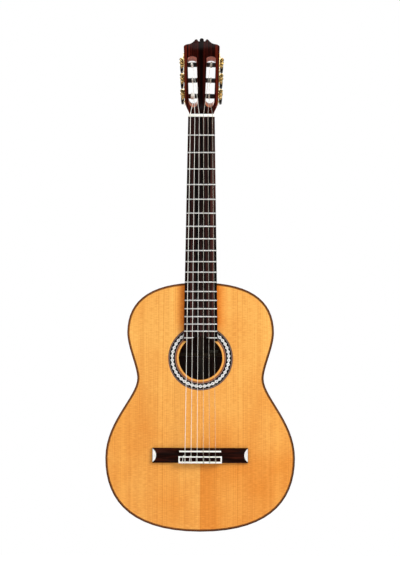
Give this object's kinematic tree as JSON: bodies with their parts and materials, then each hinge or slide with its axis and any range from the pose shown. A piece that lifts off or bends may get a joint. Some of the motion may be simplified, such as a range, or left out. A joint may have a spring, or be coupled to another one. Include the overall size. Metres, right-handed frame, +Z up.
{
  "type": "classical guitar",
  "caption": "Six-string classical guitar with arched back, slotted head, tied bridge and worm-driven machine heads.",
  "frame": {"origin": "on the neck's face at the nut's front edge, where a wall hanger's yoke takes the neck below the head; the soundboard's face is the plane y = 0", "axes": "+Z up along the neck towards the head, -Y out of the soundboard, +X towards the treble strings"},
  "size_m": [0.363, 0.1131, 0.9725],
  "materials": {
    "soundboard_spruce": "gloss lacquer",
    "rosette_mosaic": "inlaid, lacquered",
    "brace_spruce": "bare",
    "back_rosewood": "gloss lacquer",
    "strip_maple": "gloss lacquer",
    "block_mahogany": "bare",
    "binding_rosewood": "gloss lacquer",
    "neck_mahogany": "satin lacquer",
    "faceplate_rosewood": "gloss lacquer",
    "fingerboard_ebony": "oiled",
    "fret_nickel_silver": "polished",
    "bone": "polished bone",
    "bridge_rosewood": "oiled",
    "pearl": "polished shell",
    "gilt_brass": "gilt, polished",
    "button_black": "polished",
    "roller_black": "polished",
    "string_wound": "silver-plated winding",
    "string_nylon": "clear nylon"
  },
  "bodies": {
    "guitar": {"soundboard_bass": "soundboard_spruce", "soundboard_treble": "soundboard_spruce", "rosette": "rosette_mosaic", "top_patches": "brace_spruce", "top_braces": "brace_spruce", "back_bass": "back_rosewood", "back_treble": "back_rosewood", "back_centre_strip": "strip_maple", "back_braces": "brace_spruce", "rib_bass": "back_rosewood", "rib_treble": "back_rosewood", "tail_wedge": "strip_maple", "tail_block": "block_mahogany", "foot_block": "block_mahogany", "linings": "block_mahogany", "top_binding": "binding_rosewood", "back_binding": "binding_rosewood", "neck": "neck_mahogany", "heel_cap": "faceplate_rosewood", "headstock": "neck_mahogany", "head_faceplate": "faceplate_rosewood", "fingerboard": "fingerboard_ebony", "frets": "fret_nickel_silver", "nut": "bone", "bridge": "bridge_rosewood", "saddle": "bone", "tie_block_frame": "bone", "bridge_end_inlays": "pearl", "tuner_plates": "gilt_brass", "plate_screws": "gilt_brass", "string_1": "string_wound", "string_2": "string_wound", "string_3": "string_wound", "string_4": "string_nylon", "string_5": "string_nylon", "string_6": "string_nylon"},
    "worm_1": {"tuner_worm_1": "gilt_brass", "tuner_button_1": "button_black"},
    "roller_1": {"tuner_roller_1": "roller_black", "tuner_gear_1": "gilt_brass"},
    "worm_2": {"tuner_worm_2": "gilt_brass", "tuner_button_2": "button_black"},
    "roller_2": {"tuner_roller_2": "roller_black", "tuner_gear_2": "gilt_brass"},
    "worm_3": {"tuner_worm_3": "gilt_brass", "tuner_button_3": "button_black"},
    "roller_3": {"tuner_roller_3": "roller_black", "tuner_gear_3": "gilt_brass"},
    "worm_4": {"tuner_worm_4": "gilt_brass", "tuner_button_4": "button_black"},
    "roller_4": {"tuner_roller_4": "roller_black", "tuner_gear_4": "gilt_brass"},
    "worm_5": {"tuner_worm_5": "gilt_brass", "tuner_button_5": "button_black"},
    "roller_5": {"tuner_roller_5": "roller_black", "tuner_gear_5": "gilt_brass"},
    "worm_6": {"tuner_worm_6": "gilt_brass", "tuner_button_6": "button_black"},
    "roller_6": {"tuner_roller_6": "roller_black", "tuner_gear_6": "gilt_brass"}
  },
  "joints": [
    {"name": "button_turn_1", "type": "hinge", "parent": "guitar", "child": "worm_1", "pos_m": [-0.03767, 0.02285, 0.0542], "axis": [0, 0.9636, -0.2672], "continuous": true},
    {"name": "roller_turn_1", "type": "hinge", "parent": "guitar", "child": "roller_1", "pos_m": [-0.03242, 0.0207, 0.04646], "axis": [0.9995, 0.0085, 0.0306], "continuous": true},
    {"name": "button_turn_2", "type": "hinge", "parent": "guitar", "child": "worm_2", "pos_m": [-0.03879, 0.0322, 0.08791], "axis": [0, 0.9636, -0.2672], "continuous": true},
    {"name": "roller_turn_2", "type": "hinge", "parent": "guitar", "child": "roller_2", "pos_m": [-0.03353, 0.03005, 0.08017], "axis": [0.9995, 0.0085, 0.0306], "continuous": true},
    {"name": "button_turn_3", "type": "hinge", "parent": "guitar", "child": "worm_3", "pos_m": [-0.03989, 0.04154, 0.12162], "axis": [0, 0.9636, -0.2672], "continuous": true},
    {"name": "roller_turn_3", "type": "hinge", "parent": "guitar", "child": "roller_3", "pos_m": [-0.03464, 0.0394, 0.11388], "axis": [0.9995, 0.0085, 0.0306], "continuous": true},
    {"name": "button_turn_4", "type": "hinge", "parent": "guitar", "child": "worm_4", "pos_m": [0.03989, 0.04154, 0.12162], "axis": [0, 0.9636, -0.2672], "continuous": true},
    {"name": "roller_turn_4", "type": "hinge", "parent": "guitar", "child": "roller_4", "pos_m": [0.03464, 0.0394, 0.11388], "axis": [0.9995, -0.0085, -0.0306], "continuous": true},
    {"name": "button_turn_5", "type": "hinge", "parent": "guitar", "child": "worm_5", "pos_m": [0.03879, 0.0322, 0.08791], "axis": [0, 0.9636, -0.2672], "continuous": true},
    {"name": "roller_turn_5", "type": "hinge", "parent": "guitar", "child": "roller_5", "pos_m": [0.03353, 0.03005, 0.08017], "axis": [0.9995, -0.0085, -0.0306], "continuous": true},
    {"name": "button_turn_6", "type": "hinge", "parent": "guitar", "child": "worm_6", "pos_m": [0.03767, 0.02285, 0.0542], "axis": [0, 0.9636, -0.2672], "continuous": true},
    {"name": "roller_turn_6", "type": "hinge", "parent": "guitar", "child": "roller_6", "pos_m": [0.03242, 0.0207, 0.04646], "axis": [0.9995, -0.0085, -0.0306], "continuous": true}
  ],
  "couplings": [
    {"joint": "roller_turn_1", "follows": "button_turn_1", "ratio": 0.0625},
    {"joint": "roller_turn_2", "follows": "button_turn_2", "ratio": 0.0625},
    {"joint": "roller_turn_3", "follows": "button_turn_3", "ratio": 0.0625},
    {"joint": "roller_turn_4", "follows": "button_turn_4", "ratio": 0.0625},
    {"joint": "roller_turn_5", "follows": "button_turn_5", "ratio": 0.0625},
    {"joint": "roller_turn_6", "follows": "button_turn_6", "ratio": 0.0625}
  ]
}
